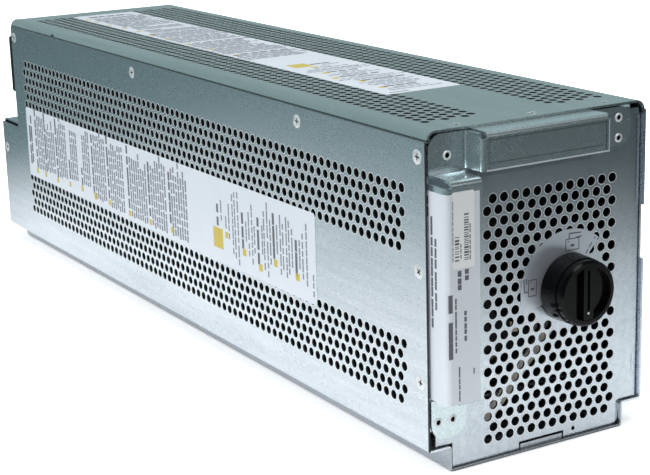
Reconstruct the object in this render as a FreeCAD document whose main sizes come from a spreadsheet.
import FreeCAD, Part
import math
import os

# Battery cartridge for a rack uninterruptible power supply: a zinc-plated steel
# box with perforated panels, a folded handle bracket and a rotary disconnect.
# Millimetres. X runs left to right seen from the front, Y from front to rear,
# Z up. Origin: on the ground, in the middle, in the plane of the front panel.

# ------------------------------------------------------------ driving sizes
sheet_gauge = 1.2          # every folded sheet except the handle bracket
body_width = 142.4         # over the side walls
body_length = 567.0        # front panel plane to the rear edge of the side walls
tail_length = 34.5         # lower rear extension behind the side walls
tail_height = 97.5         # top edge of the extension's side walls
wall_height = 176.4        # top edge of the side walls
cover_height = 181.7       # outer face of the top cover
ledge_height = 13.2        # underside of the two running ledges
channel_width = 115.6      # lower channel, outside
edge_overhang = 2.0        # walls and cover stand this far in front of the panel
fold_radius = 0.8          # inner radius of a plain fold
cover_fold_radius = 4.1    # inner radius of the cover's long folds
seat_gap = 0.2             # clearance round a sheet that drops in
flange_length = 12.0       # return flanges of the panels

hole_pitch = 7.14          # triangular perforation, centre to centre
hole_size = 4.76           # perforation across its flats
grid_columns = 12
grid_rows = 22
grid_left = -31.92         # first hole of the long-left rows
grid_top = 141.7           # first row
blank_radius = 22.5        # unperforated disc round the switch

knob_x = 20.8
knob_z = 86.4
knob_radius = 18.7
knob_length = 16.7
knob_clearance = 0.8       # knob's skirt to the front panel
shaft_radius = 3.0
bearing_clearance = 0.05
bush_radius = 5.0
nut_across_flats = 14.0
nut_thickness = 2.2
grip_width = 6.4
grip_height = 3.0
switch_size = 44.0
switch_depth = 34.0

plate_gauge = 1.5          # handle bracket
grip_depth = 16.4          # bracket's hats stand this far off the panel
bracket_left = -68.7
post_right = -46.9         # right edge of the upright hat
corner_bottom = 158.5      # underside of the bracket's corner plate
corner_top = 179.7
bar_left = -46.5           # left wall of the level hat
bar_right = 36.6
bar_bottom = 160.6
bar_top = 180.4
wing_right = 61.4          # right end of the bracket's right flange
post_bottom = 41.0         # underside of the upright hat
foot_bottom = 18.9         # lower end of the bracket's foot

notch_low = 93.9           # keying notch in the right wall's front edge
notch_high = 124.1
notch_depth = 2.3

head_radius = 3.9          # flat-head screws
head_depth = 1.1
shank_radius = 1.7
screw_inset = 4.6          # screw line behind the panel plane
rivet_head = 2.45
rivet_body = 1.6
rivet_bore = 1.0

block_width = 65.0         # one 12 V battery block, lying on its end
block_height = 151.0
block_depth = 94.0
block_pitch = 102.0
block_rows = 5
block_gap = 1.0            # between the two columns
first_block = 51.0
block_lid = 5.0
terminal_height = 5.0

label_gauge = 0.2
side_label_front = 106.9
side_label_length = 440.0
side_label_height = 53.4
side_label_bottom = 65.6
side_label_slope = 0.0055  # stuck on slightly out of level
top_label_front = 97.8
top_label_left = -28.3
top_label_width = 50.6
scale_radius = 31.5
scale_start = 49.4         # ends of the printed scale, degrees from +X
scale_end = 200.6

socket_left = -66.0        # rear power connector
socket_width = 36.0
socket_bottom = 122.5
socket_height = 44.2
socket_reach = 20.0        # behind the side walls
socket_depth = 26.0

# ------------------------------------------------------------ derived places
half_width = body_width / 2
inner_half = half_width - sheet_gauge
channel_half = channel_width / 2
channel_inner = channel_half - sheet_gauge
ledge_top = ledge_height + sheet_gauge
tail_rear = body_length + tail_length
cover_under = cover_height - sheet_gauge
panel_half = inner_half - seat_gap
row_pitch = hole_pitch * math.sqrt(3) / 2
bar_front = -grip_depth
nut_front = -nut_thickness
block_end = first_block + block_rows * block_pitch
shelf_top = ledge_top + sheet_gauge
block_floor = shelf_top

doc = FreeCAD.newDocument("battery_cartridge")
sizes = doc.addObject("Spreadsheet::Sheet", "Sizes")
DRIVING = [
    ("sheet_gauge", sheet_gauge), ("body_width", body_width), ("body_length", body_length),
    ("tail_length", tail_length), ("tail_height", tail_height), ("wall_height", wall_height),
    ("cover_height", cover_height), ("ledge_height", ledge_height),
    ("channel_width", channel_width), ("edge_overhang", edge_overhang),
    ("flange_length", flange_length), ("hole_pitch", hole_pitch), ("hole_size", hole_size),
    ("knob_radius", knob_radius), ("knob_length", knob_length), ("plate_gauge", plate_gauge),
    ("grip_depth", grip_depth), ("grip_height", grip_height), ("head_depth", head_depth),
    ("switch_depth", switch_depth), ("block_width", block_width),
    ("block_height", block_height), ("block_depth", block_depth),
    ("label_gauge", label_gauge), ("socket_depth", socket_depth),
    ("side_label_length", side_label_length), ("top_label_width", top_label_width),
]
for row, (alias, value) in enumerate(DRIVING, start=1):
    sizes.set("A%d" % row, alias)
    sizes.set("B%d" % row, str(value))
    sizes.setAlias("B%d" % row, alias)
doc.recompute()

nodes = []


# ------------------------------------------------------------ drawing helpers
def start_body(name):
    """A named body; each one becomes a part file."""
    body = doc.addObject("PartDesign::Body", name)
    body.Label = name
    nodes.append(body)
    return body


def sketch_on(body, plane, offset):
    """An empty sketch on one of the body's own planes, moved along its normal.

    XY keeps (x, y); XZ draws (x, z) and YZ draws (y, z).
    """
    sketch = body.newObject("Sketcher::SketchObject", body.Name + "_sketch")
    role = plane + "_Plane"
    support = [f for f in body.Origin.OriginFeatures if f.Role == role][0]
    sketch.AttachmentSupport = [(support, "")]
    sketch.MapMode = "FlatFace"
    shift = -offset if plane == "XZ" else offset
    sketch.AttachmentOffset = FreeCAD.Placement(FreeCAD.Vector(0, 0, shift), FreeCAD.Rotation())
    return sketch


def vec(point):
    return FreeCAD.Vector(point[0], point[1], 0)


def draw_loop(sketch, corners):
    """A closed outline. A corner is (a, b) or (a, b, radius)."""
    starts, ends, arcs = [], [], []
    count = len(corners)
    for i in range(count):
        here = vec(corners[i])
        radius = corners[i][2] if len(corners[i]) > 2 else 0
        if radius <= 0:
            starts.append(here)
            ends.append(here)
            continue
        back = (vec(corners[i - 1]) - here).normalize()
        ahead = (vec(corners[(i + 1) % count]) - here).normalize()
        half_angle = back.getAngle(ahead) / 2
        reach = radius / math.tan(half_angle)
        middle = (back + ahead).normalize()
        centre = here + middle * (radius / math.sin(half_angle))
        first = here + back * reach
        last = here + ahead * reach
        arcs.append(Part.Arc(first, centre - middle * radius, last))
        starts.append(first)
        ends.append(last)
    lines = []
    for i in range(count):
        a = ends[i]
        b = starts[(i + 1) % count]
        if a.distanceToPoint(b) > 1e-6:
            lines.append(Part.LineSegment(a, b))
    sketch.addGeometry(lines + arcs, False)


def draw_box(sketch, a0, b0, a1, b1, radius=0):
    draw_loop(sketch, [(a0, b0, radius), (a1, b0, radius), (a1, b1, radius), (a0, b1, radius)])


def draw_circle(sketch, a, b, radius):
    sketch.addGeometry(Part.Circle(FreeCAD.Vector(a, b, 0), FreeCAD.Vector(0, 0, 1), radius), False)


def draw_hexagon(sketch, a, b, across):
    """A hexagon across its flats, the faceted form of one punched hole."""
    corner = across / math.sqrt(3)
    ring = [math.radians(60 * k + 30) for k in range(6)]
    draw_loop(sketch, [(a + corner * math.cos(t), b + corner * math.sin(t)) for t in ring])


def folded(path, gauge, radius):
    """Outline of a folded strip: a path along one face, thickness to its left."""
    count = len(path)
    tangents = []
    for i in range(count - 1):
        tangents.append((vec(path[i + 1]) - vec(path[i])).normalize())
    outer, inner = [], []
    for i in range(count):
        before = tangents[max(i - 1, 0)]
        after = tangents[min(i, count - 2)]
        n0 = FreeCAD.Vector(-before.y, before.x, 0)
        n1 = FreeCAD.Vector(-after.y, after.x, 0)
        mitre = (n0 + n1) * (gauge / (1 + n0.dot(n1)))
        turn = before.x * after.y - before.y * after.x
        near, far = 0, 0
        if abs(turn) > 1e-9:
            near = radius + gauge if turn > 0 else radius
            far = radius if turn > 0 else radius + gauge
        outer.append((path[i][0], path[i][1], near))
        inner.append((path[i][0] + mitre.x, path[i][1] + mitre.y, far))
    return outer + inner[::-1]


def pad(body, sketch, length, taper=0, reverse=False):
    """Fills the sketch along its plane's normal: +Z, -Y or +X."""
    feature = body.newObject("PartDesign::Pad", body.Name + "_pad")
    feature.Profile = sketch
    feature.Reversed = reverse
    if isinstance(length, str):
        feature.setExpression("Length", length)
    else:
        feature.Length = length
    if taper:
        feature.TaperAngle = taper
    doc.recompute()
    return feature


def pocket(body, sketch, length, taper=0, reverse=False):
    """Cuts the sketch against its plane's normal: -Z, +Y or -X."""
    before = body.Shape.Volume
    feature = body.newObject("PartDesign::Pocket", body.Name + "_pocket")
    feature.Profile = sketch
    feature.Reversed = reverse
    if isinstance(length, str):
        feature.setExpression("Length", length)
    else:
        feature.Length = length
    if taper:
        feature.TaperAngle = taper
    doc.recompute()
    if not body.Shape.Volume < before - 1e-6:
        raise RuntimeError("%s removed nothing" % feature.Name)
    return feature


def plate(body, plane, outline, near, far):
    """A flat plate between two positions along the plane's axis, near < far."""
    sketch = sketch_on(body, plane, far if plane == "XZ" else near)
    draw_loop(sketch, outline)
    return pad(body, sketch, far - near)


def box_outline(a0, b0, a1, b1, radius=0):
    return [(a0, b0, radius), (a1, b0, radius), (a1, b1, radius), (a0, b1, radius)]


def cut_box(body, plane, a0, b0, a1, b1, near, far, radius=0):
    """Cuts a prism between two positions along the plane's axis, near < far."""
    sketch = sketch_on(body, plane, near if plane == "XZ" else far)
    draw_loop(sketch, box_outline(a0, b0, a1, b1, radius))
    return pocket(body, sketch, far - near)


def cut_circles(body, plane, centres, radius, near, far):
    sketch = sketch_on(body, plane, near if plane == "XZ" else far)
    for a, b in centres:
        draw_circle(sketch, a, b, radius)
    return pocket(body, sketch, far - near)


# ------------------------------------------------------------ screw places
wall_screws = [(screw_inset, wall_height - 8.1), (screw_inset, wall_height - 67.2),
               (screw_inset, wall_height - 126.4)]
for share in (0.218, 0.605):
    wall_screws.append((body_length * share, wall_height - 8.0))
wall_screws.append((body_length - 5.6, wall_height - 8.0))
tail_screw = (tail_rear - 6.0, tail_height - 20.3)
top_screws = [(-47.5, screw_inset), (0.0, screw_inset), (47.5, screw_inset)]
rivets = [(-57.3, corner_top - 11.4), (52.7, corner_top - 5.8), (52.7, corner_top - 16.7),
          (-64.5, foot_bottom + 10.0), (-55.5, foot_bottom + 10.0)]

# ------------------------------------------------------------ base tray
# One sheet: both side walls, the running ledges and the lower channel.
tray = start_body("base_tray")
tray_path = [(-half_width, wall_height), (-half_width, ledge_height),
             (-channel_half, ledge_height), (-channel_half, 0),
             (channel_half, 0), (channel_half, ledge_height),
             (half_width, ledge_height), (half_width, wall_height)]
profile = sketch_on(tray, "XZ", tail_rear)
draw_loop(profile, folded(tray_path, sheet_gauge, fold_radius))
pad(tray, profile, "Sizes.body_length + Sizes.tail_length + Sizes.edge_overhang")
# the walls stop short above the tail
cut_box(tray, "YZ", body_length, tail_height, tail_rear + 1, wall_height + 1,
        -half_width - 1, half_width + 1)
# keying notch in the front edge of the right wall
cut_box(tray, "YZ", -edge_overhang - 1, notch_low, notch_depth - edge_overhang, notch_high,
        inner_half - 1, half_width + 1)
# locating tab that stands in the panel's bottom slot
tab_left, tab_right, tab_top = -10.6, 17.4, 4.2
plate(tray, "XZ", box_outline(tab_left, sheet_gauge / 2, tab_right, tab_top), 0, sheet_gauge)
for side in (-1, 1):
    outside = side * half_width
    wall = sketch_on(tray, "YZ", max(outside, outside - side * (sheet_gauge + 1)))
    for y, z in wall_screws + [tail_screw]:
        draw_circle(wall, y, z, shank_radius)
    pocket(tray, wall, sheet_gauge + 1)
for side in (-1, 1):
    # countersinks, wide at the outer face
    start = sketch_on(tray, "YZ", side * half_width)
    for y, z in wall_screws + [tail_screw]:
        draw_circle(start, y, z, head_radius)
    pocket(tray, start, head_depth, taper=-45, reverse=side < 0)

# ------------------------------------------------------------ top cover
cover = start_body("top_cover")
cover_rear = body_length + 2.0
flange_bottom = wall_height - 16.0
cover_path = [(inner_half, flange_bottom), (inner_half, cover_height),
              (-inner_half, cover_height), (-inner_half, flange_bottom)]
profile = sketch_on(cover, "XZ", cover_rear)
draw_loop(profile, folded(cover_path, sheet_gauge, cover_fold_radius))
pad(cover, profile, cover_rear + edge_overhang)
# rear lip, folded down over the rear panel
lip_half = inner_half - cover_fold_radius - sheet_gauge
lip_bottom = socket_bottom + socket_height + 1.5
cut_box(cover, "XZ", -lip_half, cover_under - 1, lip_half, cover_height + 1,
        cover_rear - 6, cover_rear + 1)
lip = sketch_on(cover, "YZ", -lip_half)
draw_loop(lip, folded([(cover_rear, lip_bottom), (cover_rear, cover_height),
                       (cover_rear - 6, cover_height)], sheet_gauge, fold_radius))
pad(cover, lip, 2 * lip_half)
# the side flanges start behind the front panel's own flanges
flange_start = flange_length + 2.0
cut_box(cover, "XZ", -inner_half - 1, flange_bottom - 1, inner_half + 1,
        cover_height - cover_fold_radius - sheet_gauge - 0.4,
        -edge_overhang - 1, flange_start)
flange_screws = [p for p in wall_screws if p[0] > flange_start]
cut_circles(cover, "YZ", flange_screws, shank_radius, -inner_half - 1, inner_half + 1)
cut_circles(cover, "XY", top_screws, shank_radius, cover_under - 1, cover_height + 1)
sink = sketch_on(cover, "XY", cover_height)
for x, y in top_screws:
    draw_circle(sink, x, y, head_radius)
pocket(cover, sink, head_depth, taper=-45)
# small spring slot in the left fold
cut_box(cover, "XY", -inner_half - 1, body_length * 0.85, -inner_half + 2.2,
        body_length * 0.85 + 5.0, cover_height - 4.2, cover_height - 3.0)

# ------------------------------------------------------------ front panel
panel = start_body("front_panel")
panel_top = wall_height + 1.1
shoulder = ledge_top + 0.6
tongue_left = -channel_inner + 1.8
tongue_right = channel_inner - seat_gap
tongue_bottom = sheet_gauge + 0.3
slot_left, slot_right, slot_top = tab_left - 1.0, tab_right + 1.0, tab_top + 1.4
relief_x = -panel_half + 4.5
relief_top = shoulder + 9.0
bend_reach = sheet_gauge + fold_radius
plate_half = panel_half - bend_reach
flat = [(-plate_half, shoulder), (tongue_left, shoulder), (tongue_left, tongue_bottom),
        (slot_left, tongue_bottom), (slot_left, slot_top), (slot_right, slot_top),
        (slot_right, tongue_bottom), (tongue_right, tongue_bottom, 4.5),
        (tongue_right, shoulder), (plate_half, shoulder), (plate_half, panel_top),
        (-plate_half, panel_top)]
plate(panel, "XZ", flat, 0, sheet_gauge)
ends = sketch_on(panel, "XY", shoulder)
draw_loop(ends, folded([(-panel_half, flange_length), (-panel_half, 0), (panel_half, 0),
                        (panel_half, flange_length)], sheet_gauge, fold_radius))
pad(panel, ends, wall_height - 2.4 - shoulder)
top_flange_half = 62.0
top_fold = 2.4
top = sketch_on(panel, "YZ", -top_flange_half)
draw_loop(top, folded([(0, panel_top - 12), (0, cover_under),
                       (flange_length, cover_under)][::-1], sheet_gauge, top_fold))
pad(panel, top, 2 * top_flange_half)
cut_box(panel, "XZ", -panel_half - 1, shoulder - 1, relief_x, relief_top, -1,
        flange_length + 1, 1.5)

cut_circles(panel, "XZ", [(knob_x, knob_z)], bush_radius, -1, sheet_gauge + 1)
cut_circles(panel, "XZ", rivets, rivet_body, -1, sheet_gauge + 1)
cut_circles(panel, "XZ", [(slot_right + 6.7, slot_top - 0.4)], 1.2, -1, sheet_gauge + 1)
cut_circles(panel, "XY", top_screws, shank_radius, cover_under - sheet_gauge - 1, cover_under + 1)
front_screws = [p for p in wall_screws if p[0] < flange_start]
cut_circles(panel, "YZ", front_screws, shank_radius, -panel_half - 1, panel_half + 1)

# the ventilation field comes last
field = sketch_on(panel, "XZ", 0)
for j in range(grid_rows):
    z = grid_top - j * row_pitch
    shift = hole_pitch / 2 if j % 2 == 0 else 0
    for k in range(grid_columns):
        x = grid_left + shift + k * hole_pitch
        if math.hypot(x - knob_x, z - knob_z) > blank_radius:
            draw_hexagon(field, x, z, hole_size)
pocket(panel, field, "Sizes.sheet_gauge")

# ------------------------------------------------------------ handle bracket
# One folded sheet: corner plate, level hat with its right flange, upright hat
# with its foot. Both hats open towards the panel.
bracket = start_body("handle_bracket")
corner_radius = 8.0
fold = 1.5
corner = [(bracket_left, corner_bottom), (bar_left + plate_gauge, corner_bottom),
          (bar_left + plate_gauge, corner_top), (bracket_left, corner_top, corner_radius)]
plate(bracket, "XZ", corner, -plate_gauge, 0)
wing = [(bar_right - plate_gauge, corner_bottom + 0.6), (wing_right, corner_bottom + 0.6, corner_radius),
        (wing_right, corner_top, corner_radius), (bar_right - plate_gauge, corner_top)]
plate(bracket, "XZ", wing, -plate_gauge, 0)
# the end walls of the level hat
stub = 6.0
left_end = sketch_on(bracket, "XY", bar_bottom)
draw_loop(left_end, folded([(bar_left - stub, -plate_gauge), (bar_left, -plate_gauge),
                            (bar_left, bar_front), (bar_left + stub, bar_front)],
                           plate_gauge, fold))
pad(bracket, left_end, corner_top - bar_bottom)
right_end = sketch_on(bracket, "XY", bar_bottom)
draw_loop(right_end, folded([(bar_right - stub, bar_front), (bar_right, bar_front),
                             (bar_right, -plate_gauge), (bar_right + stub, -plate_gauge)],
                            plate_gauge, fold))
pad(bracket, right_end, corner_top - bar_bottom)
# its face with the top wall
face_left = bar_left + 3.2
face_right = bar_right - 3.2
cut_box(bracket, "XZ", face_left, bar_bottom - 1, face_right, corner_top + 1, bar_front - 1, bar_front + 5)
level = sketch_on(bracket, "YZ", face_left)
draw_loop(level, folded([(0, bar_top), (bar_front, bar_top), (bar_front, bar_bottom)],
                        plate_gauge, fold))
pad(bracket, level, face_right - face_left)
# corner reliefs at both ends of the top fold
for x0, x1 in ((bar_left - 1, face_left), (face_right, bar_right + 1)):
    cut_box(bracket, "XZ", x0, bar_top - 3.4, x1, bar_top + 1, bar_front - 1, bar_front + 3.2)
# the upright hat
post_face_left = bracket_left + 3.4
upright = sketch_on(bracket, "YZ", post_face_left)
draw_loop(upright, folded([(-plate_gauge, corner_bottom + 6), (-plate_gauge, corner_bottom),
                           (bar_front, corner_bottom), (bar_front, post_bottom),
                           (-plate_gauge, post_bottom), (-plate_gauge, post_bottom - 6)],
                          plate_gauge, fold))
pad(bracket, upright, post_right - post_face_left)
side_wall = sketch_on(bracket, "XY", post_bottom + 1.0)
draw_loop(side_wall, folded([(bracket_left, -plate_gauge), (bracket_left, bar_front),
                             (post_face_left + 3, bar_front)], plate_gauge, fold))
pad(bracket, side_wall, corner_bottom - post_bottom - 4.4)
foot = [(bracket_left, post_bottom), (bracket_left, foot_bottom, 9.0),
        (post_right, foot_bottom, 9.0), (post_right, post_bottom)]
plate(bracket, "XZ", foot, -plate_gauge, 0)
cut_circles(bracket, "XZ", rivets, rivet_body, -plate_gauge - 0.1, 0.1)

# ------------------------------------------------------------ rear panel
rear = start_body("rear_panel")
rear_half = inner_half - sheet_gauge - seat_gap
rear_bottom = tail_height + 3.0
rear_face = body_length - 2.0
plate(rear, "XZ", box_outline(-rear_half + 2, rear_bottom, rear_half - 2, cover_under - 3),
      rear_face - sheet_gauge, rear_face)
flanges = sketch_on(rear, "XY", rear_bottom)
draw_loop(flanges, folded([(rear_half, rear_face - flange_length), (rear_half, rear_face),
                           (-rear_half, rear_face), (-rear_half, rear_face - flange_length)],
                          sheet_gauge, fold_radius))
pad(rear, flanges, cover_under - 3 - rear_bottom)
window = 0.3
cut_box(rear, "XZ", socket_left - window, socket_bottom - window,
        socket_left + socket_width + window, socket_bottom + socket_height + window,
        rear_face - sheet_gauge - 1, rear_face + 1)
rear_screws = [p for p in wall_screws if p[0] > rear_face - flange_length]
cut_circles(rear, "YZ", rear_screws, shank_radius, -rear_half - 1, rear_half + 1)

# ------------------------------------------------------------ tail cover
# Closes the lower rear extension above and behind.
tail = start_body("tail_cover")
tail_half = inner_half - seat_gap
tail_roof = tail_height + 2.6
tail_back = tail_rear - 1.0
profile = sketch_on(tail, "YZ", -tail_half)
draw_loop(profile, folded([(tail_back, ledge_top + fold_radius), (tail_back, tail_roof),
                           (rear_face + seat_gap, tail_roof)], sheet_gauge, 2.0))
pad(tail, profile, 2 * tail_half)
for side in (-1, 1):
    near = min(side * tail_half, side * (tail_half - sheet_gauge))
    plate(tail, "YZ", box_outline(tail_back - 16, tail_height - 38, tail_back - 0.6, tail_height - 4),
          near, near + sheet_gauge)
# its tongue closes the end of the lower channel
plate(tail, "XZ", box_outline(-channel_inner + seat_gap, sheet_gauge + seat_gap,
                              channel_inner - seat_gap, ledge_top + 4),
      tail_back - sheet_gauge, tail_back)
cut_circles(tail, "YZ", [tail_screw], shank_radius, -tail_half - 1, tail_half + 1)

# ------------------------------------------------------------ screws and rivets
def wall_screw_group(name, places, side, grip):
    """Flat-head screws through one side wall, their heads flush outside."""
    group = start_body(name)
    outer = side * half_width
    heads = sketch_on(group, "YZ", outer)
    for y, z in places:
        draw_circle(heads, y, z, head_radius)
    pad(group, heads, head_depth, taper=-45, reverse=side > 0)
    inner = outer - side * grip
    shanks = sketch_on(group, "YZ", min(outer - side * head_depth, inner))
    for y, z in places:
        draw_circle(shanks, y, z, shank_radius)
    pad(group, shanks, grip - head_depth)


wall_screw_group("left_wall_screws", wall_screws + [tail_screw], -1, 6.0)
wall_screw_group("right_wall_screws", wall_screws + [tail_screw], 1, 6.0)

lid_screws = start_body("cover_screws")
heads = sketch_on(lid_screws, "XY", cover_height)
for x, y in top_screws:
    draw_circle(heads, x, y, head_radius)
pad(lid_screws, heads, head_depth, taper=-45, reverse=True)
shanks = sketch_on(lid_screws, "XY", cover_height - 6.0)
for x, y in top_screws:
    draw_circle(shanks, x, y, shank_radius)
pad(lid_screws, shanks, 6.0 - head_depth)

rivet_group = start_body("bracket_rivets")
ring = sketch_on(rivet_group, "XZ", -plate_gauge)
for x, z in rivets:
    draw_circle(ring, x, z, rivet_head)
    draw_circle(ring, x, z, rivet_bore)
pad(rivet_group, ring, 0.7)
tube = sketch_on(rivet_group, "XZ", sheet_gauge + 2.5)
for x, z in rivets:
    draw_circle(tube, x, z, rivet_body)
    draw_circle(tube, x, z, rivet_bore)
pad(rivet_group, tube, sheet_gauge + 2.5 + plate_gauge)

# ------------------------------------------------------------ rotary disconnect
def turned(body, profile_points):
    """Revolves an outline of (y, radius) points about the switch's axis."""
    sketch = body.newObject("Sketcher::SketchObject", body.Name + "_section")
    support = [f for f in body.Origin.OriginFeatures if f.Role == "YZ_Plane"][0]
    sketch.AttachmentSupport = [(support, "")]
    sketch.MapMode = "FlatFace"
    sketch.AttachmentOffset = FreeCAD.Placement(FreeCAD.Vector(0, knob_z, knob_x),
                                                FreeCAD.Rotation())
    draw_loop(sketch, profile_points)
    spin = body.newObject("PartDesign::Revolution", body.Name + "_turn")
    spin.Profile = sketch
    spin.ReferenceAxis = (sketch, ["H_Axis"])
    spin.Angle = 360
    doc.recompute()
    return spin


knob = start_body("switch_knob")
skirt = -knob_clearance
front = skirt - knob_length
step = skirt - knob_length * 0.68
dish = front + grip_height + 0.3
cavity_radius = nut_across_flats / math.sqrt(3) + 1.0
cavity_end = nut_front - 2.6
socket_end = cavity_end - 5.0
rim = 1.2
turned(knob, [(skirt, cavity_radius), (skirt, knob_radius), (step, knob_radius - 0.4),
              (step, knob_radius - 0.9), (front + rim, knob_radius - 0.9),
              (front, knob_radius - 0.9 - rim), (front, knob_radius - 4.2), (dish, knob_radius - 4.6), (dish, 0),
              (socket_end, 0), (socket_end, shaft_radius), (cavity_end, shaft_radius),
              (cavity_end, cavity_radius)])
grip = sketch_on(knob, "XZ", dish + 0.4)
grip_half = knob_radius - 4.5
draw_box(grip, knob_x - grip_width / 2, knob_z - grip_half, knob_x + grip_width / 2,
         knob_z + grip_half, 1.0)
pad(knob, grip, "Sizes.grip_height + 0.4")
groove = sketch_on(knob, "XZ", dish - grip_height)
draw_box(groove, knob_x - 0.9, knob_z - grip_half + 5.0, knob_x + 0.9, knob_z + grip_half - 1.5, 0.6)
pocket(knob, groove, 1.0)

shaft = start_body("switch_shaft")
shaft_end = sheet_gauge + 7.0
turned(shaft, [(socket_end, 0), (socket_end, shaft_radius), (shaft_end, shaft_radius),
               (shaft_end, 0)])

bush = start_body("switch_bush")
switch_front = sheet_gauge + 0.3
turned(bush, [(nut_front - 0.8, shaft_radius + bearing_clearance),
              (nut_front - 0.8, bush_radius), (switch_front, bush_radius),
              (switch_front, shaft_radius + bearing_clearance)])

nut = start_body("switch_nut")
hexagon = sketch_on(nut, "XZ", 0)
draw_hexagon(hexagon, knob_x, knob_z, nut_across_flats)
draw_circle(hexagon, knob_x, knob_z, bush_radius)
pad(nut, hexagon, nut_thickness)

switch = start_body("switch_body")
half_switch = switch_size / 2
plate(switch, "XZ", box_outline(knob_x - half_switch, knob_z - half_switch, knob_x + half_switch,
                                knob_z + half_switch, 3.0), switch_front, switch_front + switch_depth)
cut_circles(switch, "XZ", [(knob_x, knob_z)], shaft_radius + bearing_clearance,
            switch_front - 1, shaft_end + bearing_clearance)
for dx in (-1, 1):
    cut_box(switch, "XY", knob_x + dx * 11 - 6, switch_front + switch_depth - 8,
            knob_x + dx * 11 + 6, switch_front + switch_depth + 1,
            knob_z - half_switch - 1, knob_z - half_switch + 12)

tabs = start_body("switch_terminals")
tab_y = switch_front + switch_depth - 4.0
for dx in (-1, 1):
    plate(tabs, "XZ", box_outline(knob_x + dx * 11 - 4, knob_z - half_switch - 9,
                                  knob_x + dx * 11 + 4, knob_z - half_switch + 12),
          tab_y - 0.8, tab_y)

# diagonal brace between the channel floor and the switch
brace = start_body("inner_stay")
brace_left = -46.6
brace_width = 9.3
brace_lean = 60.8
switch_under = knob_z - half_switch
plate(brace, "XZ", [(brace_left, sheet_gauge), (brace_left + brace_width, sheet_gauge),
                    (brace_left + brace_lean + brace_width, switch_under),
                    (brace_left + brace_lean, switch_under)], 10.0, 10.0 + sheet_gauge)

# ------------------------------------------------------------ battery pack
shelf = start_body("battery_shelf")
shelf_front = first_block - 4.0
shelf_rear = rear_face - sheet_gauge - 0.5
shelf_half = inner_half - fold_radius - seat_gap
plate(shelf, "XY", box_outline(-shelf_half, shelf_front, shelf_half, shelf_rear),
      ledge_top, shelf_top)
for x in (-24.0, 24.0):
    plate(shelf, "YZ", box_outline(shelf_front, sheet_gauge, shelf_rear, ledge_top + 0.2),
          x, x + sheet_gauge)

stop = start_body("battery_stop")
stop_half = inner_half - 1.6
foot_y = first_block - 1.0
frame = sketch_on(stop, "XZ", foot_y)
draw_box(frame, -stop_half, shelf_top, stop_half, shelf_top + block_height - 6)
draw_box(frame, -stop_half + 16, shelf_top + 16, stop_half - 16, shelf_top + block_height - 22, 4)
pad(stop, frame, sheet_gauge)

block_front = {}
for column, x0 in (("left", -block_width - block_gap / 2), ("right", block_gap / 2)):
    for row in range(block_rows):
        name = "battery_block_%s_%d" % (column, row + 1)
        block = start_body(name)
        y0 = first_block + row * block_pitch + terminal_height + 1
        case = box_outline(x0 + 0.5, y0 + block_lid, x0 + block_width - 0.5, y0 + block_depth)
        plate(block, "XY", case, block_floor + 0.5, block_floor + block_height - 0.5)
        lid = box_outline(x0, y0, x0 + block_width, y0 + block_lid + 4)
        plate(block, "XY", lid, block_floor, block_floor + block_height)
        block_front[(column, row)] = (x0, y0)

terminals = start_body("block_terminals")
for (column, row), (x0, y0) in block_front.items():
    for z in (block_floor + 12, block_floor + block_height - 20):
        tab = box_outline(x0 + 12, y0 - terminal_height, x0 + 12.8, y0)
        plate(terminals, "XY", tab, z, z + 8)

straps = start_body("link_straps")
strap_gap = 0.8
for row in range(block_rows):
    left_x, y0 = block_front[("left", row)]
    right_x = block_front[("right", row)][0]
    z = block_floor + (12 if row % 2 == 0 else block_height - 20)
    link = box_outline(left_x + 12.8, y0 - 3.0, right_x + 12.0, y0 - 2.0)
    plate(straps, "XY", link, z, z + 8)

pads = start_body("foam_strips")
foam_top = cover_under
foam_bottom = block_floor + block_height
for x in (-52.0, 22.0):
    plate(pads, "XY", box_outline(x, first_block + 12, x + 30, block_end - 12), foam_bottom, foam_top)

for side, name in ((-1, "left_liner"), (1, "right_liner")):
    liner = start_body(name)
    outer = side * inner_half
    near = min(outer, outer - side * 0.8)
    plate(liner, "YZ", box_outline(shelf_front, shelf_top + 1, shelf_rear - 12, flange_bottom - 1),
          near, near + 0.8)

# ------------------------------------------------------------ rear power parts
housing = start_body("rear_connector")
socket_right = socket_left + socket_width
socket_top = socket_bottom + socket_height
socket_rear = body_length + socket_reach
plate(housing, "XZ", box_outline(socket_left, socket_bottom, socket_right, socket_top, 2.0),
      socket_rear - socket_depth, socket_rear)
for k in range(2):
    z = socket_bottom + 4.6 + k * 19.0
    cut = sketch_on(housing, "XZ", socket_rear - 16)
    draw_box(cut, socket_left + 6, z, socket_right - 6, z + 16, 1.5)
    well = pocket(housing, cut, 17)

blades = start_body("connector_contacts")
for k in range(2):
    z = socket_bottom + 4.6 + k * 19.0
    plate(blades, "XZ", box_outline(socket_left + 10, z + 6.5, socket_right - 10, z + 9.5),
          socket_rear - 16, socket_rear - 3)

fuse_base = start_body("fuse_base")
base_front = rear_face + 4.0
base_height = 10.0
fuse_radius = 8.0
base_top = sheet_gauge + base_height
plate(fuse_base, "XY", box_outline(-30, base_front, 30, base_front + 22), sheet_gauge, base_top)
fuse = start_body("fuse_link")
fuse_z = base_top + fuse_radius
spindle = sketch_on(fuse, "YZ", -18)
draw_circle(spindle, base_front + 11, fuse_z, fuse_radius)
pad(fuse, spindle, 36)
clips = start_body("fuse_clips")
for x in (-24.0, 18.0):
    plate(clips, "XY", box_outline(x, base_front + 5, x + 6, base_front + 17), base_top, fuse_z + 9)

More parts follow.
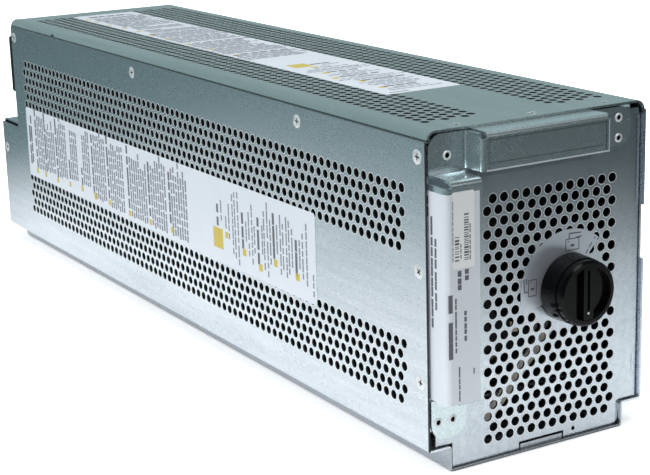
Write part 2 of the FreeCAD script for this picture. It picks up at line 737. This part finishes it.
# ------------------------------------------------------------ labels
side_label = start_body("side_label")
drop = side_label_slope * side_label_length
rear_y = side_label_front + side_label_length
plate(side_label, "YZ", [(side_label_front, side_label_bottom, 2),
                         (rear_y, side_label_bottom - drop, 2),
                         (rear_y, side_label_bottom - drop + side_label_height, 2),
                         (side_label_front, side_label_bottom + side_label_height, 2)],
      -half_width - label_gauge, -half_width)

top_label = start_body("top_label")
plate(top_label, "XY", box_outline(top_label_left, top_label_front, top_label_left + top_label_width,
                                   top_label_front + side_label_length + 7, 2),
      cover_height, cover_height + label_gauge)

wrap = start_body("handle_label")
wrap_bottom = post_bottom + 3.5
wrap_top = corner_bottom - 6.5
profile = sketch_on(wrap, "XY", wrap_bottom)
draw_loop(profile, folded([(bracket_left - label_gauge, -3.0),
                           (bracket_left - label_gauge, bar_front - label_gauge),
                           (post_right - 1.6, bar_front - label_gauge)],
                          label_gauge, fold + plate_gauge))
pad(wrap, profile, wrap_top - wrap_bottom)

sticker = start_body("bar_sticker")
sticker_left = post_face_left + 0.5
plate(sticker, "XZ", box_outline(sticker_left, wrap_top - 38, post_right - 5.0, wrap_top + 1.0, 1),
      bar_front - 2 * label_gauge, bar_front - label_gauge)

scale = start_body("knob_scale")
arc = sketch_on(scale, "XZ", 0)
middle = FreeCAD.Vector(knob_x, knob_z, 0)
inner_radius = knob_radius - 1.0


def polar(radius, degrees):
    angle = math.radians(degrees)
    return middle + FreeCAD.Vector(math.cos(angle), math.sin(angle), 0) * radius


centre_angle = (scale_start + scale_end) / 2
arc.addGeometry([
    Part.Arc(polar(scale_radius, scale_start), polar(scale_radius, centre_angle),
             polar(scale_radius, scale_end)),
    Part.LineSegment(polar(scale_radius, scale_end), polar(inner_radius, scale_end)),
    Part.Arc(polar(inner_radius, scale_end), polar(inner_radius, centre_angle),
             polar(inner_radius, scale_start)),
    Part.LineSegment(polar(inner_radius, scale_start), polar(scale_radius, scale_start)),
], False)
pad(scale, arc, "Sizes.label_gauge")

# ------------------------------------------------------------ check and export
doc.recompute()
for item in doc.Objects:
    if "Invalid" in item.State or "Error" in item.State:
        raise RuntimeError("%s is %s" % (item.Name, item.State))
os.makedirs("parts", exist_ok=True)
for body in nodes:
    shape = body.Shape
    if shape.isNull() or not shape.isValid() or not shape.Solids:
        raise RuntimeError("%s has no valid solid" % body.Label)
    shape.exportStep("parts/%s.step" % body.Label)
    print("%-26s solids %2d  volume %10.1f" % (body.Label, len(shape.Solids), shape.Volume))
